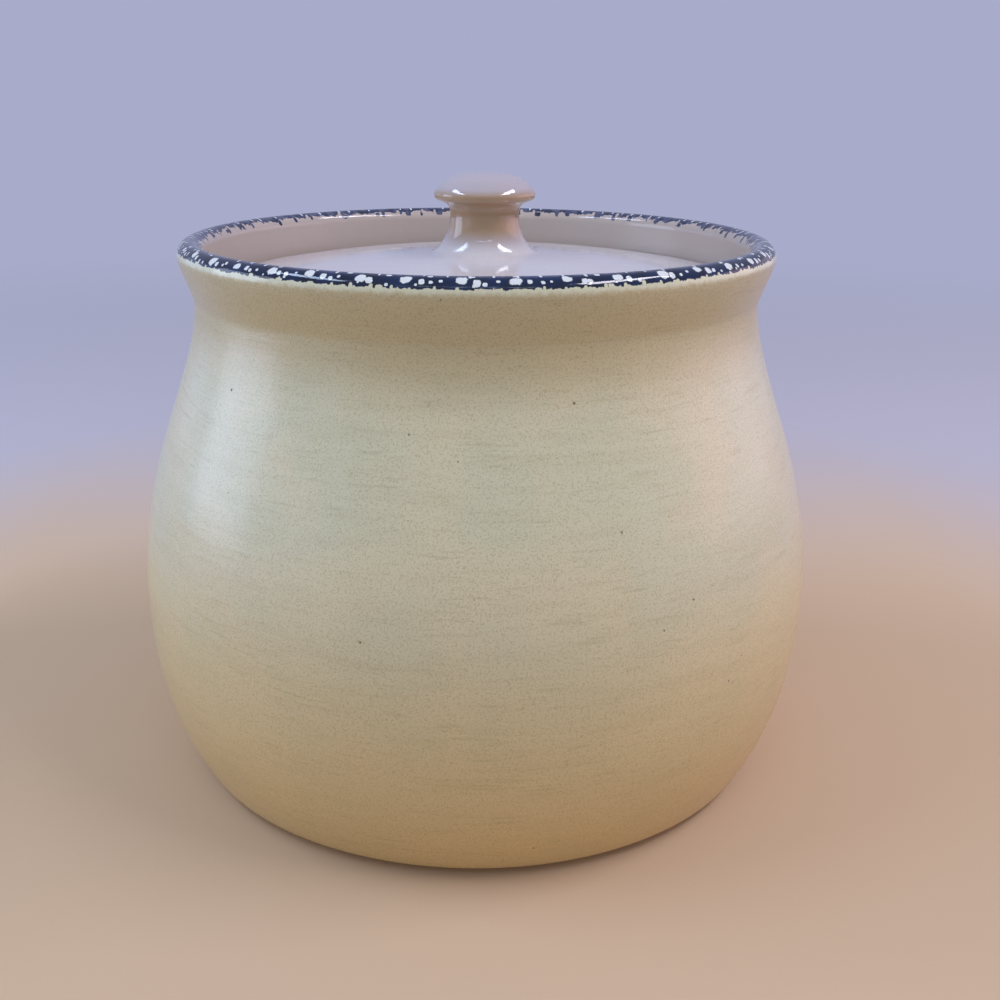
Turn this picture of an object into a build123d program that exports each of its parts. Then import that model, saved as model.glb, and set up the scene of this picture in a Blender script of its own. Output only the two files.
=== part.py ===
"""Stoneware biscuit jar: a pot-bellied body with a gallery inside its neck, a drop-in lid
and a mushroom knob. Millimetres, +Z up, origin at the centre of the foot's resting plane."""
import os

from build123d import *

# Outer form of the jar
rim_height = 161.3           # resting plane to the top of the lip
neck_radius = 83.8           # narrowest outside radius, just under the lip
neck_drop = 17.0             # from the top of the lip down to the narrowest place
belly_radius = 103.6         # widest outside radius
belly_height = 55.5          # where the belly is widest
heel_radius = 92.1           # where the wall turns under to the foot
heel_lean = 28.6             # degrees the wall leans out from vertical at the heel
heel_round = 2.4             # radius of the turned edge between wall and underside

# How far each curve keeps its direction before it bends
neck_reach = 22.0
shoulder_reach = 42.3
belly_reach = 17.3
heel_reach = 20.4

# Lip
lip_overhang = 4.0           # how far the lip stands out from the neck
lip_width = 7.8              # across the rounded lip
lip_reach = 3.0
lip_neck_reach = 2.0

# Walls and floor
wall = 5.5
neck_wall = 4.4
floor_thickness = 6.0
floor_radius = 72.0          # flat part of the floor inside
floor_reach = 17.0
cavity_reach = 24.0

# Foot ring
foot_height = 2.5
foot_inset = 5.8             # from the heel in to the ring
foot_width = 8.0
foot_round = 0.8

# Gallery: the ledge inside the neck that carries the lid
seat_drop = 17.3             # from the top of the lip down to the seat
seat_width = 9.0
ledge_thickness = 4.0
ledge_run = 9.0              # how far the ledge's underside slopes down the wall
ledge_reach = 14.0           # how far the wall stays upright under the ledge
gallery_round = 0.8          # inside corner between seat and wall

# Lid
lid_play = 2.7               # radial room between lid and gallery wall
lid_edge = 5.0               # thickness at the rim of the lid
lid_rise = 7.4               # height of the dome over the lid's edge
lid_thickness = 5.0          # through the dome
lid_seat_band = 9.0          # width of the flat ring that rests on the ledge
lid_top_round = 2.2
lid_bottom_round = 1.2
lid_drift = 0.88 * lid_play  # a loose lid lies off centre, here towards +X

# Knob
stem_radius = 10.3
sweep_radius = 15.5          # the stem's slow sweep outwards, made with the knob
sweep_turn = 38.0            # degrees that the slow sweep turns
flare_radius = 4.4           # the quicker sweep that carries on from it, made with the lid
stem_height = 2.9            # straight stem over the sweep
cap_radius = 15.05
cap_slope = 19.5             # degrees the cap's underside climbs outwards
cap_edge_round = 1.95
cap_turn = 45.0              # degrees the rounded edge turns in over its widest place
cap_rise = 6.2               # from the cap's widest place up to its crown
cap_reach = 6.0
crown_reach = 8.4
under_cap_round = 2.8        # where the stem runs out into the cap's underside

os.makedirs("parts", exist_ok=True)


def corner(sketch, radius, height):
    """The corner of a section that lies nearest to a radius and a height."""
    return sketch.vertices().sort_by_distance((radius, height))[0]


# ---------------------------------------------------------------- jar body
neck_height = rim_height - neck_drop
lip_outer = neck_radius + lip_overhang
lip_inner = lip_outer - lip_width
lip_centre = lip_outer - lip_width / 2
lip_spring = rim_height - lip_width / 2      # where the lip starts to round over
belly_inner = belly_radius - wall
gallery_radius = neck_radius - neck_wall
ledge_radius = gallery_radius - seat_width
seat_height = rim_height - seat_drop
ledge_nose = ledge_radius + ledge_thickness / 2
ledge_foot = seat_height - ledge_thickness - ledge_run
floor_height = foot_height + floor_thickness
foot_outer = heel_radius - foot_inset
foot_inner = foot_outer - foot_width

lean = Vector(0, 1).rotate(Axis.Z, -heel_lean)        # up the wall at the heel
outward = Vector(1, 0).rotate(Axis.Z, -heel_lean)     # square to the wall there
heel_centre = Vector(heel_radius - heel_round, foot_height + heel_round)
heel_top = heel_centre + outward * heel_round
heel_bottom = Vector(heel_centre.X, foot_height)
heel_middle = heel_centre + Vector(0, -1).rotate(Axis.Z, (90 - heel_lean) / 2) * heel_round

with BuildPart() as jar_body:
    with BuildSketch(Plane.XZ) as jar_section:
        # The outer form, filled to the axis
        with BuildLine():
            Polyline((0, lip_spring), (0, foot_height), heel_bottom)
            ThreePointArc(heel_bottom, heel_middle, heel_top)
            Bezier(
                heel_top,
                heel_top + lean * heel_reach,
                (belly_radius, belly_height - belly_reach),
                (belly_radius, belly_height),
            )
            Bezier(
                (belly_radius, belly_height),
                (belly_radius, belly_height + shoulder_reach),
                (neck_radius, neck_height - neck_reach),
                (neck_radius, neck_height),
            )
            Bezier(
                (neck_radius, neck_height),
                (neck_radius, neck_height + lip_neck_reach),
                (lip_outer, lip_spring - lip_reach),
                (lip_outer, lip_spring),
            )
            ThreePointArc((lip_outer, lip_spring), (lip_centre, rim_height), (lip_inner, lip_spring))
            Line((lip_inner, lip_spring), (0, lip_spring))
        make_face()
        # The hollow, with the ledge left standing in its neck
        with BuildLine():
            Polyline((0, lip_spring), (0, floor_height), (floor_radius, floor_height))
            Bezier(
                (floor_radius, floor_height),
                (floor_radius + floor_reach, floor_height),
                (belly_inner, belly_height - cavity_reach),
                (belly_inner, belly_height),
            )
            Bezier(
                (belly_inner, belly_height),
                (belly_inner, belly_height + shoulder_reach),
                (gallery_radius, ledge_foot - ledge_reach),
                (gallery_radius, ledge_foot),
            )
            Line((gallery_radius, ledge_foot), (ledge_nose, seat_height - ledge_thickness))
            ThreePointArc(
                (ledge_nose, seat_height - ledge_thickness),
                (ledge_radius, seat_height - ledge_thickness / 2),
                (ledge_nose, seat_height),
            )
            Polyline(
                (ledge_nose, seat_height),
                (gallery_radius, seat_height),
                (lip_inner, lip_spring),
                (0, lip_spring),
            )
        make_face(mode=Mode.SUBTRACT)
        fillet(corner(jar_section, gallery_radius, seat_height), radius=gallery_round)
    revolve(axis=Axis.Z)
    # The turned foot ring
    with BuildSketch() as foot_section:
        Circle(foot_outer)
        Circle(foot_inner, mode=Mode.SUBTRACT)
    extrude(amount=foot_height)
    fillet(jar_body.edges().group_by(Axis.Z)[0], radius=foot_round)

jar_body.part.label = "jar_body"
export_step(jar_body.part, "parts/jar_body.step")


# ---------------------------------------------------------------- lid
lid_radius = gallery_radius - lid_play
lid_edge_top = seat_height + lid_edge
lid_crown = lid_edge_top + lid_rise
lid_under_edge = lid_radius - lid_seat_band
lid_under_crown = lid_crown - lid_thickness
sweep_side = Vector(-1, 0).rotate(Axis.Z, sweep_turn)  # from the sweeps' centres to where they meet
flare_foot_radius = stem_radius + sweep_radius + (sweep_radius - flare_radius) * sweep_side.X


def dome_height(radius, crown, edge_radius, edge_height):
    """Height at a radius on the spherical cap through a crown and an edge."""
    rise = crown - edge_height
    sphere = (edge_radius ** 2 + rise ** 2) / (2 * rise)
    return crown - sphere + (sphere ** 2 - radius ** 2) ** 0.5


flare_foot_height = dome_height(flare_foot_radius, lid_crown, lid_radius, lid_edge_top)
flare_centre = Vector(flare_foot_radius, flare_foot_height + flare_radius)
join_point = flare_centre + sweep_side * flare_radius      # between knob and lid
mid_lid_radius = lid_radius / 2
mid_lid_height = dome_height(mid_lid_radius, lid_crown, lid_radius, lid_edge_top)
mid_under_radius = lid_under_edge / 2
mid_under_height = dome_height(mid_under_radius, lid_under_crown, lid_under_edge, seat_height)

lid_plane = Plane(origin=(lid_drift, 0, 0), x_dir=(1, 0, 0), z_dir=(0, -1, 0))
lid_axis = Axis((lid_drift, 0, 0), (0, 0, 1))

with BuildPart() as lid:
    with BuildSketch(lid_plane) as lid_section:
        with BuildLine():
            Polyline((0, lid_under_crown), (0, join_point.Y), join_point)
            CenterArc(flare_centre, flare_radius, 180 + sweep_turn, 90 - sweep_turn)
            ThreePointArc(
                (flare_foot_radius, flare_foot_height),
                (mid_lid_radius, mid_lid_height),
                (lid_radius, lid_edge_top),
            )
            Polyline(
                (lid_radius, lid_edge_top),
                (lid_radius, seat_height),
                (lid_under_edge, seat_height),
            )
            ThreePointArc(
                (lid_under_edge, seat_height),
                (mid_under_radius, mid_under_height),
                (0, lid_under_crown),
            )
        make_face()
        fillet(corner(lid_section, lid_radius, lid_edge_top), radius=lid_top_round)
        fillet(corner(lid_section, lid_radius, seat_height), radius=lid_bottom_round)
    revolve(axis=lid_axis)

lid.part.label = "lid"
export_step(lid.part, "parts/lid.step")


# ---------------------------------------------------------------- knob
sweep_centre = join_point - sweep_side * sweep_radius
stem_top = sweep_centre.Y + stem_height               # where stem and underside would meet unrounded
underside = Vector(1, 0).rotate(Axis.Z, cap_slope)
edge_radius = cap_radius - cap_edge_round
edge_rise = ((edge_radius - stem_radius) * underside.Y + cap_edge_round) / underside.X
edge_centre = Vector(edge_radius, stem_top + edge_rise)
edge_bottom = edge_centre + Vector(0, -cap_edge_round).rotate(Axis.Z, cap_slope)
edge_top = edge_centre + Vector(cap_edge_round, 0).rotate(Axis.Z, cap_turn)
crown_start = edge_top + Vector(0, cap_reach).rotate(Axis.Z, cap_turn)
knob_top = edge_centre.Y + cap_rise

with BuildPart() as lid_knob:
    with BuildSketch(lid_plane) as knob_section:
        with BuildLine():
            Line((0, join_point.Y), join_point)
            CenterArc(sweep_centre, sweep_radius, 180 + sweep_turn, -sweep_turn)
            Polyline((stem_radius, sweep_centre.Y), (stem_radius, stem_top), edge_bottom)
            ThreePointArc(edge_bottom, (cap_radius, edge_centre.Y), edge_top)
            Bezier(edge_top, crown_start, (crown_reach, knob_top), (0, knob_top))
            Line((0, knob_top), (0, join_point.Y))
        make_face()
        fillet(corner(knob_section, stem_radius, stem_top), radius=under_cap_round)
    revolve(axis=lid_axis)

lid_knob.part.label = "lid_knob"
export_step(lid_knob.part, "parts/lid_knob.step")
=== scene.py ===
"""Stoneware biscuit jar: glazed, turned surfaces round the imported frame, in metres."""
import functools
import math

import bmesh
import bpy
import numpy as np
from mathutils import Matrix, Vector


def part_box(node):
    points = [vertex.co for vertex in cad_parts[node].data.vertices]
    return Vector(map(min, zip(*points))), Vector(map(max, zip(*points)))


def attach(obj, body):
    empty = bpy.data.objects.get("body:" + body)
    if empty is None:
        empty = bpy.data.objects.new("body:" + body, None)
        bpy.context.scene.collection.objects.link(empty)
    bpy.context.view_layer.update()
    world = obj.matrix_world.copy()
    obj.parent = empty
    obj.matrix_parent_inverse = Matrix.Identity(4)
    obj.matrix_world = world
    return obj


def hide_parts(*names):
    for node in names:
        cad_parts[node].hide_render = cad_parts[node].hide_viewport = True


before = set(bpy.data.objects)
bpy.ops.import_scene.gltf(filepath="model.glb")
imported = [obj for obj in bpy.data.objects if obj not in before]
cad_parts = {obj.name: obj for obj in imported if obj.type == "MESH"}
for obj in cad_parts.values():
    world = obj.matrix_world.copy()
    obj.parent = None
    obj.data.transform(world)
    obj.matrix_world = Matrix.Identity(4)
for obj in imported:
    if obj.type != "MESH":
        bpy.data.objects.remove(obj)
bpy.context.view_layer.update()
_, jar_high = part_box("jar_body")
lid_low, lid_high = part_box("lid")
knob_low, knob_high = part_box("lid_knob")

# Outer form of the jar, from the frame where the frame shows it
RIM_HEIGHT = jar_high.z
BELLY_RADIUS = jar_high.x
BELLY_HEIGHT = 0.0555                  # where the belly is widest
NECK_RADIUS = 0.0838                   # narrowest outside radius, just under the lip
NECK_DROP = 0.017                      # from the top of the lip down to the narrowest place
NECK_HEIGHT = RIM_HEIGHT - NECK_DROP
HEEL_RADIUS = 0.0921                   # where the wall turns under to the foot
HEEL_LEAN = math.radians(28.6)         # of the wall outwards at the heel
HEEL_ROUND = 0.0024
LIP_OVERHANG = 0.004                   # how far the lip stands out from the neck
LIP_RADIUS = 0.0039                    # of the rounded lip's cross-section
LIP_CENTRE = NECK_RADIUS + LIP_OVERHANG - LIP_RADIUS
LIP_SPRING = RIM_HEIGHT - LIP_RADIUS   # where the lip starts to round over

# How far each curve of the wall keeps its direction before it bends
HEEL_REACH = 0.0204
BELLY_REACH = 0.0173
SHOULDER_REACH = 0.0423
NECK_REACH = 0.022
LIP_NECK_REACH = 0.002
LIP_REACH = 0.003
LEDGE_REACH = 0.014
CAVITY_REACH = 0.024
FLOOR_REACH = 0.017

# Walls, gallery, floor and foot ring
WALL = 0.0055
NECK_WALL = 0.0044
GALLERY_RADIUS = NECK_RADIUS - NECK_WALL
GALLERY_ROUND = 0.0008
SEAT_HEIGHT = lid_low.z
SEAT_WIDTH = 0.009
LEDGE_THICKNESS = 0.004
LEDGE_NOSE = GALLERY_RADIUS - SEAT_WIDTH + LEDGE_THICKNESS / 2
LEDGE_RUN = 0.009                      # how far the ledge's underside slopes down the wall
LEDGE_FOOT = SEAT_HEIGHT - LEDGE_THICKNESS - LEDGE_RUN
CAVITY_RADIUS = BELLY_RADIUS - WALL
FLOOR_RADIUS = 0.072                   # flat part of the floor inside
FLOOR_THICKNESS = 0.006
FOOT_HEIGHT = 0.0025
FLOOR_HEIGHT = FOOT_HEIGHT + FLOOR_THICKNESS
FOOT_INSET = 0.0058                    # from the heel in to the ring
FOOT_WIDTH = 0.008
FOOT_OUTER = HEEL_RADIUS - FOOT_INSET
FOOT_INNER = FOOT_OUTER - FOOT_WIDTH
FOOT_ROUND = 0.0008
FOOT_CORNER = 0.0006                   # glaze gathered where ring and underside meet

# Lid and knob
LID_AXIS = (lid_low.x + lid_high.x) / 2
LID_RADIUS = (lid_high.x - lid_low.x) / 2
LID_EDGE = SEAT_HEIGHT + 0.005         # top of the lid's rim
LID_RISE = 0.0074                      # height of the dome over it
LID_CROWN = LID_EDGE + LID_RISE
LID_SEAT_BAND = 0.009                  # width of the flat ring that rests on the ledge
LID_THICKNESS = 0.005
LID_UNDER_RADIUS = LID_RADIUS - LID_SEAT_BAND
LID_UNDER_CROWN = LID_CROWN - LID_THICKNESS
LID_TOP_ROUND = 0.0022
LID_BOTTOM_ROUND = 0.0012
STEM_RADIUS = 0.0103
SWEEP_RADIUS = 0.0155                  # the stem's slow sweep outwards
SWEEP_TURN = math.radians(38)
FLARE_RADIUS = 0.0044                  # the quicker sweep that carries on from it down to the lid
STEM_HEIGHT = 0.0029
CAP_RADIUS = (knob_high.x - knob_low.x) / 2
CAP_SLOPE = math.radians(19.5)         # of the cap's underside outwards
CAP_EDGE_ROUND = 0.0017
CAP_TURN = math.radians(33)            # how far the rounded edge turns in over its widest place
CROWN_REACH = 0.0052
UNDER_CAP_ROUND = 0.0028               # where the stem runs out into the cap's underside
KNOB_TOP = knob_high.z

# Meshes
TOUCHING = 1e-6                        # points nearer than this are the same
SEGMENTS = 256
LID_SEGMENTS = 192
KNOB_SEGMENTS = 128

# Hand and wheel marks, all taken inwards so that the jar stays in its box
TURNING_DEPTH = 0.00007
TURNING_PITCHES = (0.0047, 0.0071, 0.0113)
MARKS_FROM, MARKS_TO = 0.004, 0.012    # heights between which they come in over the foot
MARKS_WAVE = 83                        # how fast their strength changes up the wall, in radians a metre
OUT_OF_ROUND = 0.00008
RIM_WAVE = 0.00008


# ---------------------------------------------------------------- profiles
def bezier(start, first, second, end, steps):
    """Points along a cubic curve."""
    t = np.linspace(0, 1, steps + 1)[:, None]
    a, b, c, d = (np.array(p, float) for p in (start, first, second, end))
    return list((1 - t) ** 3 * a + 3 * (1 - t) ** 2 * t * b + 3 * (1 - t) * t * t * c + t ** 3 * d)


def arc(centre, radius, start, end, steps):
    """Points along an arc, with angles in radians from +radius towards +height."""
    turns = np.linspace(start, end, steps + 1)
    return [np.array((centre[0] + radius * math.cos(a), centre[1] + radius * math.sin(a))) for a in turns]


def line(start, end, step):
    """Points along a straight run, about a step apart."""
    a, b = np.array(start, float), np.array(end, float)
    count = max(1, round(float(np.linalg.norm(b - a)) / step))
    return [a + (b - a) * i / count for i in range(count + 1)]


def rounded(points, radii, step, turns=5):
    """Straight runs whose inner corners are rounded, with a radius for each."""
    points = [np.array(p, float) for p in points]
    path, last = [], points[0]
    for corner, after, radius in zip(points[1:], points[2:], radii):
        back = (last - corner) / np.linalg.norm(last - corner)
        ahead = (after - corner) / np.linalg.norm(after - corner)
        half = math.acos(float(np.clip(back @ ahead, -1, 1))) / 2
        middle = (back + ahead) / np.linalg.norm(back + ahead)
        centre = corner + middle * radius / math.sin(half)
        enter = corner + back * radius / math.tan(half)
        leave = corner + ahead * radius / math.tan(half)
        path += line(last, enter, step)
        for i in range(1, turns):
            way = (enter - centre) * (1 - i / turns) + (leave - centre) * i / turns
            path.append(centre + way * radius / np.linalg.norm(way))
        last = leave
    return path + line(last, points[-1], step)


def joined(*runs):
    """One list of points from several runs that meet end to end."""
    path = list(runs[0])
    for run in runs[1:]:
        path += list(run)[1:] if np.allclose(run[0], path[-1], atol=1e-7) else list(run)
    return path


def on_dome(radius, crown, edge_radius, edge_height):
    """Height at a radius on the spherical cap through a crown and an edge."""
    rise = crown - edge_height
    sphere = (edge_radius ** 2 + rise ** 2) / (2 * rise)
    return crown - sphere + math.sqrt(sphere ** 2 - radius ** 2)


def dome(inner, outer, crown, edge_radius, edge_height, step):
    """Points outwards along a spherical cap between two radii."""
    count = max(2, round((outer - inner) / step))
    radii = np.linspace(inner, outer, count + 1)
    return [np.array((r, on_dome(r, crown, edge_radius, edge_height))) for r in radii]


def jar_profile():
    """The jar's section: underside, foot ring, wall, lip, gallery, hollow and floor."""
    heel_centre = (HEEL_RADIUS - HEEL_ROUND, FOOT_HEIGHT + HEEL_ROUND)
    heel_top = (
        heel_centre[0] + HEEL_ROUND * math.cos(HEEL_LEAN),
        heel_centre[1] - HEEL_ROUND * math.sin(HEEL_LEAN),
    )
    heel_aim = (
        heel_top[0] + HEEL_REACH * math.sin(HEEL_LEAN),
        heel_top[1] + HEEL_REACH * math.cos(HEEL_LEAN),
    )
    underside = rounded(
        [(0, FOOT_HEIGHT), (FOOT_INNER, FOOT_HEIGHT), (FOOT_INNER, 0), (FOOT_OUTER, 0),
         (FOOT_OUTER, FOOT_HEIGHT), (heel_centre[0], FOOT_HEIGHT)],
        [FOOT_CORNER, FOOT_ROUND, FOOT_ROUND, FOOT_CORNER], step=0.002)
    heel = arc(heel_centre, HEEL_ROUND, -math.pi / 2, -HEEL_LEAN, 6)
    lower_wall = bezier(
        heel_top, heel_aim, (BELLY_RADIUS, BELLY_HEIGHT - BELLY_REACH), (BELLY_RADIUS, BELLY_HEIGHT), 44)
    shoulder = bezier(
        (BELLY_RADIUS, BELLY_HEIGHT), (BELLY_RADIUS, BELLY_HEIGHT + SHOULDER_REACH),
        (NECK_RADIUS, NECK_HEIGHT - NECK_REACH), (NECK_RADIUS, NECK_HEIGHT), 84)
    lip_outer = LIP_CENTRE + LIP_RADIUS
    under_lip = bezier(
        (NECK_RADIUS, NECK_HEIGHT), (NECK_RADIUS, NECK_HEIGHT + LIP_NECK_REACH),
        (lip_outer, LIP_SPRING - LIP_REACH), (lip_outer, LIP_SPRING), 24)
    lip = arc((LIP_CENTRE, LIP_SPRING), LIP_RADIUS, 0, math.pi, 36)
    gallery = rounded(
        [(LIP_CENTRE - LIP_RADIUS, LIP_SPRING), (GALLERY_RADIUS, SEAT_HEIGHT), (LEDGE_NOSE, SEAT_HEIGHT)],
        [GALLERY_ROUND], step=0.001)
    nose = arc(
        (LEDGE_NOSE, SEAT_HEIGHT - LEDGE_THICKNESS / 2), LEDGE_THICKNESS / 2,
        math.pi / 2, 1.5 * math.pi, 10)
    under_ledge = line((LEDGE_NOSE, SEAT_HEIGHT - LEDGE_THICKNESS), (GALLERY_RADIUS, LEDGE_FOOT), 0.002)
    cavity = bezier(
        (GALLERY_RADIUS, LEDGE_FOOT), (GALLERY_RADIUS, LEDGE_FOOT - LEDGE_REACH),
        (CAVITY_RADIUS, BELLY_HEIGHT + SHOULDER_REACH), (CAVITY_RADIUS, BELLY_HEIGHT), 30)
    bowl = bezier(
        (CAVITY_RADIUS, BELLY_HEIGHT), (CAVITY_RADIUS, BELLY_HEIGHT - CAVITY_REACH),
        (FLOOR_RADIUS + FLOOR_REACH, FLOOR_HEIGHT), (FLOOR_RADIUS, FLOOR_HEIGHT), 24)
    floor = line((FLOOR_RADIUS, FLOOR_HEIGHT), (0, FLOOR_HEIGHT), 0.006)
    return joined(
        underside, heel, lower_wall, shoulder, under_lip, lip,
        gallery, nose, under_ledge, cavity, bowl, floor)


def polar(centre, radius, angle):
    """The point at an angle on a circle."""
    return (centre[0] + radius * math.cos(angle), centre[1] + radius * math.sin(angle))


def flare():
    """Centre of the quick sweep on the lid, and the point where knob and lid meet on it."""
    foot = STEM_RADIUS + SWEEP_RADIUS - (SWEEP_RADIUS - FLARE_RADIUS) * math.cos(SWEEP_TURN)
    centre = (foot, on_dome(foot, LID_CROWN, LID_RADIUS, LID_EDGE) + FLARE_RADIUS)
    return centre, polar(centre, FLARE_RADIUS, math.pi + SWEEP_TURN)


def lid_profile():
    """The lid's section: the disc under the knob, flare, dome, edge, seat ring and underside."""
    centre, join = flare()
    sweep = arc(centre, FLARE_RADIUS, math.pi + SWEEP_TURN, 1.5 * math.pi, 10)
    top = dome(centre[0], LID_RADIUS - LID_TOP_ROUND, LID_CROWN, LID_RADIUS, LID_EDGE, 0.0015)
    slope = math.atan2(top[-2][1] - top[-1][1], top[-1][0] - top[-2][0])
    edge_centre = (LID_RADIUS - LID_TOP_ROUND, top[-1][1] - LID_TOP_ROUND * math.cos(slope))
    edge = arc(edge_centre, LID_TOP_ROUND, math.pi / 2 - slope, 0, 8)
    seat = rounded(
        [(LID_RADIUS, edge_centre[1]), (LID_RADIUS, SEAT_HEIGHT), (LID_UNDER_RADIUS, SEAT_HEIGHT)],
        [LID_BOTTOM_ROUND], step=0.0012)
    under = dome(0, LID_UNDER_RADIUS, LID_UNDER_CROWN, LID_UNDER_RADIUS, SEAT_HEIGHT, 0.003)[::-1]
    disc = line((0, join[1]), join, 0.003)
    return joined(disc, sweep, top, edge, seat, under)


def knob_profile():
    """The knob's section: joining disc, slow sweep, stem, the cap's underside, edge and crown."""
    join = flare()[1]
    disc = line((0, join[1]), join, 0.003)
    sweep_centre = polar(join, SWEEP_RADIUS, SWEEP_TURN)
    sweep = arc(sweep_centre, SWEEP_RADIUS, math.pi + SWEEP_TURN, math.pi, 16)
    stem_top = sweep_centre[1] + STEM_HEIGHT
    edge_radius = CAP_RADIUS - CAP_EDGE_ROUND
    climb = (edge_radius - STEM_RADIUS) * math.sin(CAP_SLOPE) + CAP_EDGE_ROUND
    edge_centre = (edge_radius, stem_top + climb / math.cos(CAP_SLOPE))
    under_cap = rounded(
        [(STEM_RADIUS, sweep_centre[1]), (STEM_RADIUS, stem_top),
         polar(edge_centre, CAP_EDGE_ROUND, CAP_SLOPE - math.pi / 2)],
        [UNDER_CAP_ROUND], step=0.0006, turns=8)
    edge = arc(edge_centre, CAP_EDGE_ROUND, CAP_SLOPE - math.pi / 2, CAP_TURN, 10)
    cap_reach = (KNOB_TOP - edge[-1][1]) / math.cos(CAP_TURN)          # no higher than the crown
    crown = bezier(
        edge[-1], polar(edge[-1], cap_reach, CAP_TURN + math.pi / 2),
        (CROWN_REACH, KNOB_TOP), (0, KNOB_TOP), 36)
    return joined(disc, sweep, under_cap, edge, crown)


# ---------------------------------------------------------------- turned meshes
def smooth_step(low, high, value):
    """0 below low, 1 above high, and an even change between."""
    t = np.clip((value - low) / (high - low), 0, 1)
    return t * t * (3 - 2 * t)


def wheel_marks(height, angle):
    """How far the wheel and the hand leave a glazed wall inside its true form."""
    turned = sum(
        0.5 + 0.5 * np.sin(2 * math.pi * height / pitch + angle + 2.1 * i)
        for i, pitch in enumerate(TURNING_PITCHES))
    strength = 0.55 + 0.45 * np.sin(height * MARKS_WAVE + 2 * angle)
    oval = 0.5 - 0.5 * np.cos(2 * angle + 0.7)
    return TURNING_DEPTH * turned / len(TURNING_PITCHES) * strength + OUT_OF_ROUND * oval


def add_object(name, data):
    """A new object in the scene that shows a mesh, a lamp or a camera."""
    made = bpy.data.objects.new(name, data)
    bpy.context.scene.collection.objects.link(made)
    return made


def add_mesh(name, mesh):
    """A new object that takes over a finished bmesh."""
    data = bpy.data.meshes.new(name)
    mesh.to_mesh(data)
    mesh.free()
    return add_object(name, data)


def ring_of(mesh, radius, height, angles, axis, marked):
    """The vertices that a point of a section gives when it is turned: one if it is on the axis."""
    if radius < TOUCHING:
        return [mesh.verts.new((axis, 0, height))]
    radii, heights = np.full(len(angles), radius), np.full(len(angles), height)
    if marked:
        radii -= smooth_step(MARKS_FROM, MARKS_TO, height) * wheel_marks(height, angles)
        lip = smooth_step(NECK_HEIGHT, RIM_HEIGHT, height)
        heights -= lip * RIM_WAVE * (0.5 + 0.5 * np.cos(3 * angles + 1.9))
    return [
        mesh.verts.new((axis + r * math.cos(a), r * math.sin(a), z))
        for r, z, a in zip(radii, heights, angles)]


def skin(mesh, lower, upper):
    """Faces from one ring to the next, either of which may be a single vertex."""
    count = max(len(lower), len(upper))
    for i in range(count):
        j = (i + 1) % count
        if len(lower) == 1:
            mesh.faces.new((lower[0], upper[j], upper[i]))
        elif len(upper) == 1:
            mesh.faces.new((lower[i], lower[j], upper[0]))
        else:
            mesh.faces.new((lower[i], lower[j], upper[j], upper[i]))


def sharpen(mesh, axis, radius, height):
    """Makes the circle of edges at a radius and a height a sharp one."""
    def on_circle(place):
        off_radius = abs(math.hypot(place.x - axis, place.y) - radius)
        return off_radius < TOUCHING and abs(place.z - height) < TOUCHING
    for edge in mesh.edges:
        edge.smooth = not all(on_circle(vertex.co) for vertex in edge.verts)


def turn(name, profile, segments, axis=0.0, marked=False, crease=None):
    """A closed mesh made by turning a section about a vertical axis through (axis, 0), with wheel marks if
    asked for, and a sharp edge at the radius and height of a crease."""
    angles = np.linspace(0, 2 * math.pi, segments, endpoint=False)
    mesh = bmesh.new()
    rings = [ring_of(mesh, radius, height, angles, axis, marked) for radius, height in np.array(profile)]
    for lower, upper in zip(rings, rings[1:]):
        skin(mesh, lower, upper)
    bmesh.ops.recalc_face_normals(mesh, faces=mesh.faces)
    for face in mesh.faces:
        face.smooth = True
    if crease is not None:
        sharpen(mesh, axis, *crease)
    return add_mesh(name, mesh)


# ---------------------------------------------------------------- material building
def srgb(red, green, blue):
    """A colour given as it shows on screen, 0 to 255, as the linear values that nodes take."""
    def linear(value):
        value /= 255
        return value / 12.92 if value <= 0.04045 else ((value + 0.055) / 1.055) ** 2.4
    return (linear(red), linear(green), linear(blue), 1.0)


GLAZE_COOL = srgb(214, 210, 175)
GLAZE_WARM = srgb(222, 212, 175)
# Painted shade in the hollow of the neck, under the lip
NECK_PAINTED_SHADE = srgb(188, 164, 112)
# Painted shade and warm bounce light towards the foot
FOOT_SHADE_AND_BOUNCE = srgb(206, 171, 108)
GLAZE_HALO = srgb(226, 226, 194)
GLAZE_SPOT = srgb(228, 232, 228)
# Liner tone inside, pinker and darkened with painted shade
LINER_AND_SHADE = srgb(189, 175, 164)
GLAZE_LID = srgb(214, 208, 218)
GLAZE_KNOB = srgb(176, 164, 168)
# Painted shade on the stem under the cap
STEM_PAINTED_SHADE = srgb(172, 139, 98)
HAIRLINE = srgb(160, 148, 100)
RING = srgb(172, 152, 106)
SPECK = srgb(88, 72, 40)
GRAIN_SHADE = (0.55, 0.47, 0.32, 1.0)  # what the grain lets through in red, green and blue
COBALT_DEEP = srgb(5, 21, 44)
COBALT_CLEAR = srgb(15, 41, 80)
COBALT_THIN = srgb(104, 106, 130)
CLAY_DARK = srgb(176, 150, 118)
CLAY_PALE = srgb(205, 182, 150)

# How strongly each of them shows, from 0 to 1
HAIRLINE_SHARE = 0.20
GRAIN_SHARE = 0.42
RING_SHARE = 0.08
SPECK_SHARE = 0.75
# Share of the painted shade and warm bounce light towards the foot
FOOT_SHADE_SHARE = 0.75
# Share of the painted shade under the lip
NECK_SHADE_SHARE = 0.66
HALO_SHARE = 0.8
LID_SHARE = 0.7
KNOB_SHARE = 0.7
# Share of the painted shade on the stem
STEM_SHADE_SHARE = 0.9

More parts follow.
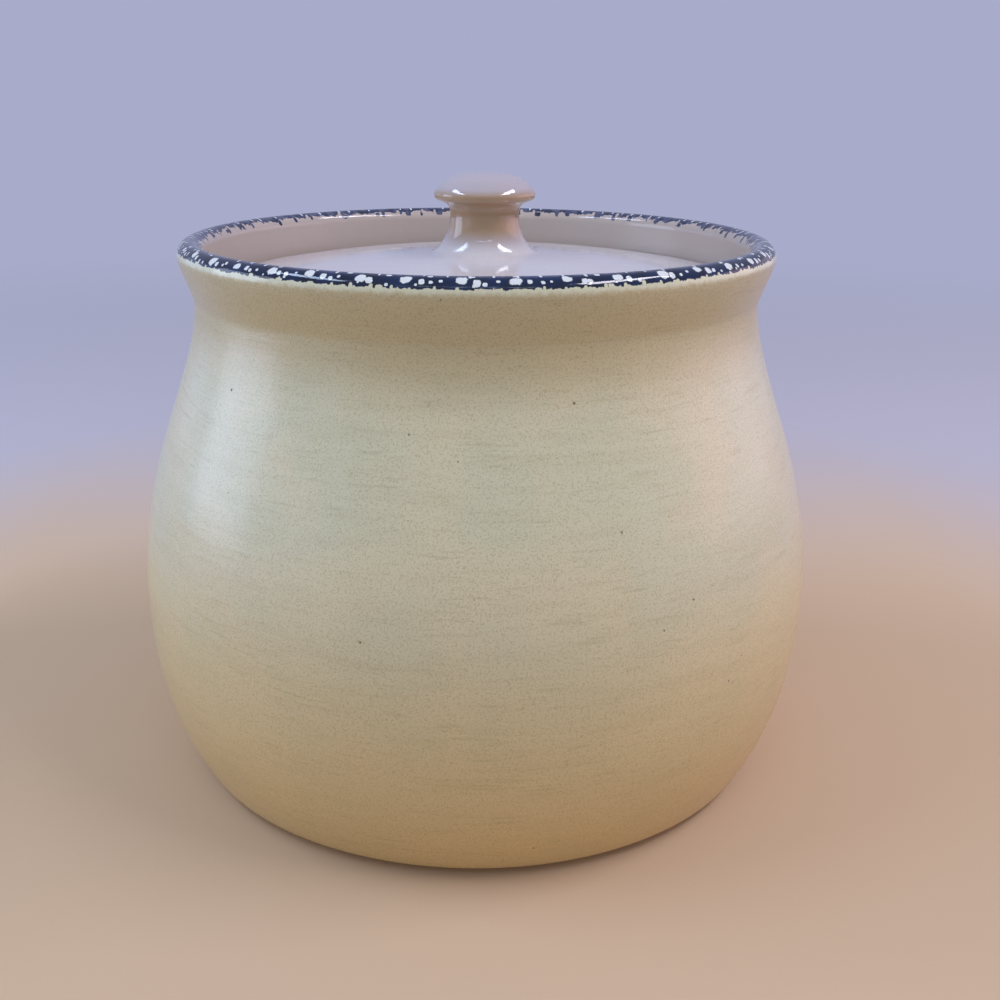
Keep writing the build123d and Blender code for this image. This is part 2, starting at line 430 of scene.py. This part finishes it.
# Noises, in features per metre
CLOUD_SCALE = 38.0
PATCH_SCALE = 95.0                     # where there are hairlines
DRIFT_SCALE = 150.0                    # the blue's own cloud
RIPPLE_SCALE = 210.0
SPECK_SCALE = 250.0
RING_SCALE = 330.0
DAB_SCALE = 430.0
SHAKE_SCALE = 620.0                    # what makes the edges ragged
STREAK_SCALE = 900.0
GRIT_SCALE = 1900.0
GRAIN_SCALE = 2300.0
STREAK_STRETCH = (0.07, 0.07, 1.0)     # flattened, so that they run round the jar
RING_STRETCH = (0.12, 0.12, 1.0)
WANDER_SCALE = 60.0                    # of the blue's inner edge, in features per turn of the lip

# Heights where a tint begins, and where it is full: painted shade at the foot (with warm bounce light),
# neck, stem and under the cap, and the knob's darker tone
FOOT_SHADE_HEIGHTS = (0.110, 0.002)
NECK_SHADE_HEIGHTS = (0.124, 0.144)
KNOB_HEIGHTS = (LID_CROWN + 0.0005, LID_CROWN + 0.005)
STEM_SHADE_HEIGHTS = (LID_CROWN + 0.002, LID_CROWN + 0.008)
CAP_SHADE_HEIGHTS = (KNOB_TOP - 0.0040, KNOB_TOP - 0.0065)

# Places across the lip, from its crown outwards, where one glaze gives way to another
BAND_OUTER = (0.00486, 0.00466)        # the blue's outer edge
BAND_INNER = (-0.0056, -0.0004)        # the range in which its inner edge wanders
INNER_BLUR = 0.00012
HALO_OUTER = (0.0070, 0.0050)
LINER_EDGE = (-0.0004, -0.0022)
THIN_BLUE = (0.0016, 0.0002)
CLEAR_OF_LIP = (0.004, 0.008)          # to either side

# How far the shake moves an edge to and fro
OUTER_SHAKE = 0.0021
INNER_SHAKE = 0.0030
HALO_SHAKE = 0.0024
LINER_SHAKE = 0.0012
FOOT_SHAKE = 0.0008

# Bare clay
FOOT_LINE = 0.0019                     # height that the glaze ends at
FOOT_BLUR = 0.0002
FOOT_INSIDE = (FOOT_INNER - 0.002, FOOT_INNER - 0.0015)      # radii where the bare ring begins
SEAT_INSIDE = (GALLERY_RADIUS, GALLERY_RADIUS - 0.0006)      # radii where the bare seat ends
SEAT_NEAR = (0.0006, 0.0003)           # above or below the jar's seat
LID_SEAT_NEAR = (0.0005, 0.0002)       # above the lid's

# Gloss and relief
GLAZE_ROUGHNESS = (0.18, 0.31)
LIP_GLOSS = 0.31                       # these three are shares of the glaze's roughness
LID_GLOSS, KNOB_GLOSS = 0.66, 0.35
SPECK_ROUGHNESS = 0.4                  # more than the glaze
CLAY_ROUGHNESS = 0.65                  # more than the glaze
GLAZE_IOR = 1.52
COAT_ROUGHNESS = 0.07
LID_COAT, KNOB_COAT = 0.40, 0.35
BUMP_STRENGTH = 0.6
JAR_BUMP, LID_BUMP = 0.0002, 0.00012   # depths of the relief

GROUPS = 43                            # dabs of the sponge round the lip
SPOT_SQUARENESS = 2.6                  # 2 gives ellipses, more gives squarer spots
RAGGEDNESS = 1.3                       # how far the shake eats into a spot, in shares of its size


class Tree:
    """Short ways to add and join the nodes of one material or node group."""

    def __init__(self, tree):
        self.tree = tree

    def put(self, socket, value):
        if isinstance(value, bpy.types.NodeSocket):
            self.tree.links.new(value, socket)
        else:
            socket.default_value = value

    def node(self, kind, inputs=(), **settings):
        made = self.tree.nodes.new("ShaderNode" + kind)
        for name, value in settings.items():
            setattr(made, name, value)
        for name, value in dict(inputs).items():
            self.put(made.inputs[name], value)
        return made

    def calc(self, operation, *values, clamp=False):
        return self.node("Math", enumerate(values), operation=operation, use_clamp=clamp).outputs[0]

    def times(self, *values):
        return self.calc("MULTIPLY", *values)

    def plus(self, *values, clamp=False):
        return self.calc("ADD", *values, clamp=clamp)

    def minus(self, *values):
        return self.calc("SUBTRACT", *values)

    def step(self, low, high, value):
        """0 below low and 1 above high, or the other way round where low is the larger."""
        inputs = {"Value": value, "From Min": low, "From Max": high}
        return self.node("MapRange", inputs, interpolation_type="SMOOTHSTEP").outputs[0]

    def ranged(self, value, low, high):
        """A 0 to 1 value spread between two numbers."""
        return self.node("MapRange", {"Value": value, "To Min": low, "To Max": high}).outputs[0]

    def mix(self, factor, first, second, blend="MIX"):
        made = self.tree.nodes.new("ShaderNodeMix")
        made.data_type, made.blend_type = "RGBA", blend
        self.put(made.inputs["Factor"], factor)
        self.put(made.inputs[6], first)
        self.put(made.inputs[7], second)
        return made.outputs[2]

    def noise(self, vector, scale, detail=2.0, rough=0.5):
        inputs = {"Vector": vector, "Scale": scale, "Detail": detail, "Roughness": rough}
        return self.node("TexNoise", inputs).outputs[0]

    def scaled(self, vector, factors):
        return self.node("VectorMath", enumerate((vector, factors)), operation="MULTIPLY").outputs[0]


def new_group(name, inputs, outputs):
    """A shader node group with float inputs, and outputs named with their socket types."""
    group = bpy.data.node_groups.new(name, "ShaderNodeTree")
    for label in inputs:
        group.interface.new_socket(label, in_out="INPUT", socket_type="NodeSocketFloat")
    for label, kind in outputs.items():
        group.interface.new_socket(label, in_out="OUTPUT", socket_type=kind)
    return group, group.nodes.new("NodeGroupInput").outputs, group.nodes.new("NodeGroupOutput").inputs


def spot_row_group():
    """One row of irregular spots round the lip: one spot in each cell of the rim's length."""
    labels = ("Turn", "Across", "Cells", "Shift", "Row", "Width", "Height", "Seed", "Ragged", "Share")
    group, given, result = new_group("spot_row", labels, {"Spot": "NodeSocketFloat"})
    tree = Tree(group)
    cell = tree.plus(tree.times(given["Turn"], given["Cells"]), given["Shift"])
    index = tree.calc("FLOOR", cell)
    pitch = tree.calc("DIVIDE", 2 * math.pi * LIP_CENTRE, given["Cells"])
    chance = tree.node(
        "TexWhiteNoise", {"W": tree.plus(index, given["Seed"])}, noise_dimensions="1D")
    first, second, third = tree.node("SeparateColor", {"Color": chance.outputs["Color"]}).outputs
    across = tree.minus(given["Across"], given["Row"])
    across = tree.minus(across, tree.ranged(second, -0.00035, 0.00035))
    along = tree.times(tree.minus(tree.calc("FRACT", cell), 0.5), pitch)
    along = tree.minus(along, tree.times(tree.ranged(first, -0.06, 0.06), pitch))
    size = tree.ranged(third, 0.74, 1.14)
    wide = tree.calc("DIVIDE", along, tree.times(given["Width"], size))
    tall = tree.calc("DIVIDE", across, tree.times(given["Height"], size))
    powers = [tree.calc("POWER", tree.calc("ABSOLUTE", share), SPOT_SQUARENESS) for share in (wide, tall)]
    reach = tree.calc("POWER", tree.plus(*powers), 1 / SPOT_SQUARENESS)
    reach = tree.plus(reach, given["Ragged"])
    there = tree.calc("LESS_THAN", chance.outputs["Value"], given["Share"])
    tree.put(result["Spot"], tree.times(tree.step(1.12, 0.88, reach), there))
    return group


def lip_coordinates(tree):
    """Place on the turned jar: turn round the axis from 0 to 1, length across the lip from its crown with
    outwards positive, radius and height."""
    given = tree.node("TexCoord").outputs
    x, y, z = tree.node("SeparateXYZ", {0: given["Object"]}).outputs
    normal_x, normal_y, _ = tree.node("SeparateXYZ", {0: given["Normal"]}).outputs
    facing = tree.plus(tree.times(x, normal_x), tree.times(y, normal_y))
    turn_share = tree.plus(tree.calc("DIVIDE", tree.calc("ARCTAN2", y, x), 2 * math.pi), 0.5)
    radius = tree.calc("SQRT", tree.plus(tree.calc("POWER", x, 2.0), tree.calc("POWER", y, 2.0)))
    up = tree.calc("MAXIMUM", tree.minus(z, LIP_SPRING), 0.0)
    below = tree.calc("MAXIMUM", tree.minus(LIP_SPRING, z), 0.0)
    outside = tree.calc("GREATER_THAN", facing, tree.times(radius, 0.05))
    side = tree.minus(tree.times(outside, 2.0), 1.0)
    down_wall = tree.times(side, below)
    out = tree.plus(tree.minus(radius, LIP_CENTRE), down_wall)
    across = tree.times(tree.calc("ARCTAN2", out, up), LIP_RADIUS)
    return turn_share, tree.plus(across, down_wall), radius, z


def stone_glaze(tree, place, painted_shades=()):
    """The cream glaze that all pieces share: its mottled colour, gloss and surface height. Painted shades
    are pairs of a mask and the colour of painted shade (with warm bounce light) that the glaze takes there,
    under its grain."""
    grain = tree.noise(place, GRAIN_SCALE, 2.0, 0.7)
    cloud = tree.noise(place, CLOUD_SCALE, 3.0)
    streak = tree.noise(tree.scaled(place, STREAK_STRETCH), STREAK_SCALE, 3.0, 0.6)
    patch = tree.noise(place, PATCH_SCALE, 2.0)
    colour = tree.mix(tree.step(0.36, 0.66, cloud), GLAZE_COOL, GLAZE_WARM)
    for mask, shade_colour in painted_shades:
        colour = tree.mix(mask, colour, shade_colour)
    hairline = tree.times(tree.step(0.53, 0.68, streak), tree.step(0.40, 0.62, patch))
    colour = tree.mix(tree.times(hairline, HAIRLINE_SHARE), colour, HAIRLINE)
    grains = tree.times(tree.step(0.50, 0.64, grain), GRAIN_SHARE)
    colour = tree.mix(grains, colour, GRAIN_SHADE, blend="MULTIPLY")
    ring = tree.noise(tree.scaled(place, RING_STRETCH), RING_SCALE, 2.0)
    colour = tree.mix(tree.times(tree.step(0.48, 0.66, ring), RING_SHARE), colour, RING)
    speck = tree.node("TexVoronoi", {"Vector": place, "Scale": SPECK_SCALE})
    odds = tree.node("SeparateColor", {"Color": speck.outputs["Color"]}).outputs
    speck_size = tree.times(tree.step(0.86, 1.0, odds[0]), 0.12)
    speck_mask = tree.step(0.0, 0.05, tree.minus(speck_size, speck.outputs["Distance"]))
    colour = tree.mix(tree.times(speck_mask, SPECK_SHARE), colour, SPECK)
    ripple = tree.noise(place, RIPPLE_SCALE, 2.0)
    height = tree.plus(tree.times(ripple, 0.6), tree.times(streak, 0.4))
    height = tree.minus(height, tree.times(speck_mask, 0.8))
    gloss = tree.ranged(grain, *GLAZE_ROUGHNESS)
    gloss = tree.plus(gloss, tree.times(speck_mask, SPECK_ROUGHNESS))
    return colour, gloss, height


def bare_clay(tree, place):
    """Unglazed stoneware where the kiln shelf or the seat was wiped clean."""
    grit = tree.noise(place, GRIT_SCALE, 4.0, 0.65)
    return tree.mix(tree.step(0.35, 0.7, grit), CLAY_DARK, CLAY_PALE), grit


def new_material(name):
    """A node material with only a Principled shader and its output, and a Tree to fill it."""
    material = bpy.data.materials.new(name)
    material.use_nodes = True
    shader = material.node_tree.nodes["Principled BSDF"]
    return material, Tree(material.node_tree), shader


def finish_surface(tree, shader, colour, gloss, coat, height, depth):
    """Joins colour, roughness, share of clear coat and a bump of a given depth in metres to the shader."""
    tree.put(shader.inputs["Base Color"], colour)
    tree.put(shader.inputs["Roughness"], gloss)
    shader.inputs["IOR"].default_value = GLAZE_IOR
    tree.put(shader.inputs["Coat Weight"], coat)
    shader.inputs["Coat Roughness"].default_value = COAT_ROUGHNESS
    bump = tree.node("Bump", {"Height": height, "Strength": BUMP_STRENGTH, "Distance": depth})
    tree.put(shader.inputs["Normal"], bump.outputs[0])


def most(tree, masks):
    """The largest of several masks."""
    return functools.reduce(lambda first, second: tree.calc("MAXIMUM", first, second), masks)


def sponged_band(tree, place, turn_share, across):
    """Where the lip is blue: a dabbed band with bare spots in groups and between them, a bitten outer edge
    and a toothed inner one. Also gives the shake that makes the edges ragged."""
    shake = tree.minus(tree.noise(place, SHAKE_SCALE, 3.0, 0.6), 0.5)
    group = spot_row_group()

    def row(cells, shift, place_across, width, height_across, seed, share=1.0):
        """Spots in so many cells round the lip, shifted by a part of a cell, with their place across the
        lip, half width, half height across it, and the share of the cells that have one."""
        made = tree.node("Group", node_tree=group)
        values = {
            "Turn": turn_share, "Across": across, "Cells": float(cells), "Shift": shift,
            "Row": place_across, "Width": width, "Height": height_across, "Seed": float(seed),
            "Ragged": tree.times(shake, RAGGEDNESS), "Share": share}
        for name, value in values.items():
            tree.put(made.inputs[name], value)
        return made.outputs[0]

    outer_edge = tree.step(*BAND_OUTER, tree.plus(across, tree.times(shake, OUTER_SHAKE)))
    wander = tree.noise(tree.node("CombineXYZ", {0: turn_share}).outputs[0], WANDER_SCALE, 2.0, 0.7)
    inner_limit = tree.plus(tree.ranged(wander, *BAND_INNER), tree.times(shake, INNER_SHAKE))
    inner_edge = tree.step(-INNER_BLUR, INNER_BLUR, tree.minus(across, inner_limit))
    blobs = most(tree, [
        row(GROUPS, 0.10, -0.0036, 0.00105, 0.00085, 113, share=0.8),
        row(71, 0.40, -0.0034, 0.00065, 0.00120, 131, share=0.7)])
    bites = most(tree, [
        row(59, 0.20, 0.0048, 0.00085, 0.00055, 71, share=0.7),
        row(107, 0.60, 0.0049, 0.00045, 0.00085, 89, share=0.7),
        row(113, 0.35, -0.0030, 0.00050, 0.00120, 149, share=0.55)])
    band = tree.times(outer_edge, tree.calc("MAXIMUM", inner_edge, blobs))
    band = tree.times(band, tree.minus(1.0, bites))
    bare = most(tree, [
        row(GROUPS, 0.00, 0.0024, 0.00130, 0.00112, 11),
        row(GROUPS, 0.74, 0.0030, 0.00080, 0.00092, 37, share=0.93),
        row(GROUPS, 0.54, 0.0033, 0.00058, 0.00056, 53, share=0.9),
        row(GROUPS, 0.36, 0.0026, 0.00044, 0.00042, 61, share=0.75),
        row(53, 0.30, 0.0008, 0.00070, 0.00046, 173, share=0.6),
        row(79, 0.80, 0.0038, 0.00034, 0.00034, 181, share=0.5),
        row(97, 0.45, 0.0004, 0.00034, 0.00075, 97, share=0.6),
        row(131, 0.15, -0.0012, 0.00030, 0.00085, 101, share=0.6)])
    bare = tree.times(bare, band)
    return tree.minus(band, bare), bare, shake


def jar_material():
    """Cream glaze with the sponged blue band over the lip, bare on the foot ring and the gallery seat."""
    material, tree, shader = new_material("jar_glaze")
    place = tree.node("TexCoord").outputs["Object"]
    turn_share, across, radius, z = lip_coordinates(tree)

    # Painted shade with warm bounce light, darker and browner towards the foot, and painted shade in the
    # hollow of the neck under the lip
    foot_shade = tree.times(tree.step(*FOOT_SHADE_HEIGHTS, z), FOOT_SHADE_SHARE)
    neck_shade = tree.times(tree.step(*NECK_SHADE_HEIGHTS, z), NECK_SHADE_SHARE)
    painted_shades = ((foot_shade, FOOT_SHADE_AND_BOUNCE), (neck_shade, NECK_PAINTED_SHADE))
    colour, gloss, height = stone_glaze(tree, place, painted_shades)
    blue, bare, shake = sponged_band(tree, place, turn_share, across)

    # Greyer, pinker liner inside, also darker as painted shade inside the jar
    inside = tree.step(*LINER_EDGE, tree.plus(across, tree.times(shake, LINER_SHAKE)))
    inside = tree.times(inside, tree.calc("GREATER_THAN", z, FLOOR_HEIGHT - 0.001))
    colour = tree.mix(inside, colour, LINER_AND_SHADE)

    # Pale glaze on the lip and just below its outer edge
    halo = tree.step(*HALO_OUTER, tree.plus(across, tree.times(shake, HALO_SHAKE)))
    halo = tree.times(halo, tree.minus(1.0, inside))
    colour = tree.mix(tree.times(halo, HALO_SHARE), colour, GLAZE_HALO)
    colour = tree.mix(bare, colour, GLAZE_SPOT)

    # The blue, thinner and greyer over the crown, in a glossier lip
    drift = tree.noise(place, DRIFT_SCALE, 3.0)
    cobalt = tree.mix(tree.step(0.30, 0.75, drift), COBALT_DEEP, COBALT_CLEAR)
    away = tree.step(*CLEAR_OF_LIP, tree.calc("ABSOLUTE", across))
    gloss = tree.times(gloss, tree.ranged(away, LIP_GLOSS, 1.0))
    dabs = tree.step(0.44, 0.60, tree.noise(place, DAB_SCALE, 2.0))
    thin = tree.times(tree.step(*THIN_BLUE, across), tree.ranged(dabs, 0.15, 0.60))
    cobalt = tree.mix(thin, cobalt, COBALT_THIN)
    colour = tree.mix(blue, colour, cobalt)
    height = tree.plus(height, tree.times(blue, 0.35))

    # Bare clay on the foot ring and the seat
    clay, grit = bare_clay(tree, place)
    foot_line = tree.plus(FOOT_LINE, tree.times(shake, FOOT_SHAKE))
    under_line = tree.step(FOOT_BLUR, -FOOT_BLUR, tree.minus(z, foot_line))
    foot = tree.times(under_line, tree.step(*FOOT_INSIDE, radius))
    seat_gap = tree.calc("ABSOLUTE", tree.minus(z, SEAT_HEIGHT))
    seat = tree.times(tree.step(*SEAT_NEAR, seat_gap), tree.step(*SEAT_INSIDE, radius))
    bare_mask = tree.calc("MAXIMUM", foot, seat)
    colour = tree.mix(bare_mask, colour, clay)
    gloss = tree.plus(gloss, tree.times(bare_mask, CLAY_ROUGHNESS), clamp=True)
    height = tree.mix(bare_mask, height, grit)
    finish_surface(tree, shader, colour, gloss, 0.0, height, JAR_BUMP)
    return material


def lid_material():
    """The glaze of lid and knob, a little pinker and glossier than the jar's."""
    material, tree, shader = new_material("lid_glaze")
    place = tree.node("TexCoord").outputs["Object"]
    z = tree.node("SeparateXYZ", {0: place}).outputs[2]
    colour, gloss, height = stone_glaze(tree, place)
    colour = tree.mix(LID_SHARE, colour, GLAZE_LID)

    # Darker on the knob, and brown painted shade on the stem under the cap
    knob = tree.step(*KNOB_HEIGHTS, z)
    colour = tree.mix(tree.times(knob, KNOB_SHARE), colour, GLAZE_KNOB)
    stem = tree.times(tree.step(*STEM_SHADE_HEIGHTS, z), tree.step(*CAP_SHADE_HEIGHTS, z))
    colour = tree.mix(tree.times(stem, STEM_SHADE_SHARE), colour, STEM_PAINTED_SHADE)

    # Bare clay on the ring that sits on the ledge
    clay, grit = bare_clay(tree, place)
    seat = tree.step(*LID_SEAT_NEAR, tree.minus(z, SEAT_HEIGHT))
    colour = tree.mix(seat, colour, clay)
    gloss = tree.times(gloss, tree.ranged(knob, LID_GLOSS, KNOB_GLOSS))
    gloss = tree.plus(gloss, tree.times(seat, CLAY_ROUGHNESS), clamp=True)
    height = tree.mix(seat, height, grit)
    finish_surface(tree, shader, colour, gloss, tree.ranged(knob, LID_COAT, KNOB_COAT), height, LID_BUMP)
    return material


# ---------------------------------------------------------------- the object
jar = turn("jar", jar_profile(), SEGMENTS, marked=True)
jar.data.materials.append(jar_material())
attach(jar, "jar")
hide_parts("jar_body")

join_circle = flare()[1]
glaze = lid_material()
lid = turn("domed_lid", lid_profile(), LID_SEGMENTS, axis=LID_AXIS, crease=join_circle)
knob = turn("mushroom_knob", knob_profile(), KNOB_SEGMENTS, axis=LID_AXIS, crease=join_circle)
for piece, node in ((lid, "lid"), (knob, "lid_knob")):
    piece.data.materials.append(glaze)
    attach(piece, "lid")
    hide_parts(node)


# ---------------------------------------------------------------- stage, light and camera
STAGE_REACH = 30.0                     # half the floor's width
FLOOR_WARM = srgb(210, 183, 150)
FLOOR_COOL = srgb(192, 188, 194)
BACKDROP = srgb(168, 172, 202)
ROOM = srgb(183, 186, 196)             # the plainer room in front of the jar, behind the camera
BLACK = (0.0, 0.0, 0.0, 1.0)
ROOM_TURN = (-0.45, 0.05)              # depth share of a direction where room gives way to backdrop
COOL_FROM, COOL_TO = 0.08, 0.40        # behind the jar the floor's tint changes between these depths
FAR_FROM, FAR_TO = 0.20, 0.44          # and all round it between these distances
GLOW_FROM, GLOW_TO = 0.30, 1.3         # the far floor takes on the light of what stands behind it
LIGHT_AIM = Vector((0, 0, 0.12))       # what the lamps face
LAMP_CLEARANCE = 0.003                 # under the lowest of them
CAMERA_PLACE = (0.0, -0.3657, 0.2034)
CAMERA_PITCH = math.radians(19.06)     # below level
CAMERA_ROLL = math.radians(0.27)
SENSOR_WIDTH = 36.0
FOCAL_SHARE = 1.2                      # focal length over frame width
FRAME_SHIFT = 0.0248                   # puts the jar's axis a little left of the frame's middle


def surroundings(tree, depth_share):
    """The colour far away in a direction, from that direction's share of depth behind the jar."""
    return tree.mix(tree.step(*ROOM_TURN, depth_share), ROOM, BACKDROP)


def make_floor():
    """A plain floor: warm round the jar, pale and cool behind it, running out into its surroundings."""
    mesh = bmesh.new()
    bmesh.ops.create_grid(mesh, x_segments=2, y_segments=2, size=STAGE_REACH)
    floor = add_mesh("floor", mesh)
    material, tree, shader = new_material("pale_floor")
    place = tree.node("TexCoord").outputs["Object"]
    depth = tree.node("SeparateXYZ", {0: place}).outputs[1]
    distance = tree.node("VectorMath", {0: place}, operation="LENGTH").outputs["Value"]
    cool = tree.calc("MAXIMUM", tree.step(COOL_FROM, COOL_TO, depth), tree.step(FAR_FROM, FAR_TO, distance))
    glow = tree.step(GLOW_FROM, GLOW_TO, distance)
    tint = tree.mix(cool, FLOOR_WARM, FLOOR_COOL)
    tree.put(shader.inputs["Base Color"], tree.mix(glow, tint, BLACK))
    shader.inputs["Roughness"].default_value = 1.0
    shader.inputs["Specular IOR Level"].default_value = 0.0
    tree.put(shader.inputs["Emission Color"], surroundings(tree, tree.calc("DIVIDE", depth, distance)))
    tree.put(shader.inputs["Emission Strength"], glow)
    floor.data.materials.append(material)


def bearing(azimuth, elevation):
    """A direction from the jar: azimuth 0 is the front, 90 the right."""
    a, e = math.radians(azimuth), math.radians(elevation)
    return Vector((math.sin(a) * math.cos(e), -math.cos(a) * math.cos(e), math.sin(e)))


def softbox(name, azimuth, elevation, distance, size, radiance):
    """A flat lamp facing the jar, with its power worked out from how bright its face is in red, green and
    blue. A low one stands on the floor."""
    width, height = size
    data = bpy.data.lights.new(name, "AREA")
    data.shape, data.size, data.size_y = "RECTANGLE", width, height
    brightest = max(radiance)
    data.energy = brightest * math.pi * width * height
    data.color = [part / brightest for part in radiance]
    lamp = add_object(name, data)
    way = bearing(azimuth, elevation)
    lamp.location = LIGHT_AIM + way * distance
    lamp.location.z = max(lamp.location.z, height / 2 + LAMP_CLEARANCE)
    lamp.rotation_mode = "QUATERNION"
    lamp.rotation_quaternion = way.to_track_quat("Z", "Y")
    lamp.visible_camera = False


def make_world():
    """The light and the backdrop that the far floor runs out into."""
    world = bpy.data.worlds.new("studio")
    world.use_nodes = True
    backing = world.node_tree.nodes["Background"]
    tree = Tree(world.node_tree)
    depth_share = tree.node("SeparateXYZ", {0: tree.node("TexCoord").outputs["Generated"]}).outputs[1]
    tree.put(backing.inputs["Color"], surroundings(tree, depth_share))
    backing.inputs["Strength"].default_value = 1.0
    bpy.context.scene.world = world


def make_camera():
    """A camera where the photograph was taken from, pitched down and rolled a little."""
    data = bpy.data.cameras.new("camera")
    data.sensor_width = SENSOR_WIDTH
    data.lens = SENSOR_WIDTH * FOCAL_SHARE
    data.shift_x = FRAME_SHIFT
    camera = add_object("camera", data)
    tilt = Matrix.Rotation(math.pi / 2 - CAMERA_PITCH, 4, "X")
    camera.matrix_world = Matrix.Translation(CAMERA_PLACE) @ tilt @ Matrix.Rotation(CAMERA_ROLL, 4, "Z")
    bpy.context.scene.camera = camera


make_floor()
softbox("left_wide", -90, 6, 1.0, (2.0, 0.45), (0.24, 0.36, 0.64))
softbox("left_core", -93, 10, 0.95, (0.48, 0.50), (1.78, 2.06, 2.70))
softbox("left_strip", -84, 50, 1.3, (0.74, 0.15), (7.6, 9.4, 12.8))
softbox("right_wide", 98, 6, 1.0, (2.0, 0.45), (0.40, 0.27, 0.36))
softbox("right_core", 98, 10, 0.95, (0.7, 0.45), (0.74, 0.50, 0.58))
softbox("right_strip", 76, 53, 1.3, (0.82, 0.15), (16.4, 15.9, 18.6))
softbox("front_strip", -3, 45, 1.6, (1.2, 0.03), (5.5, 6.6, 8.8))

make_world()
make_camera()
bpy.context.scene.view_settings.view_transform = "Standard"
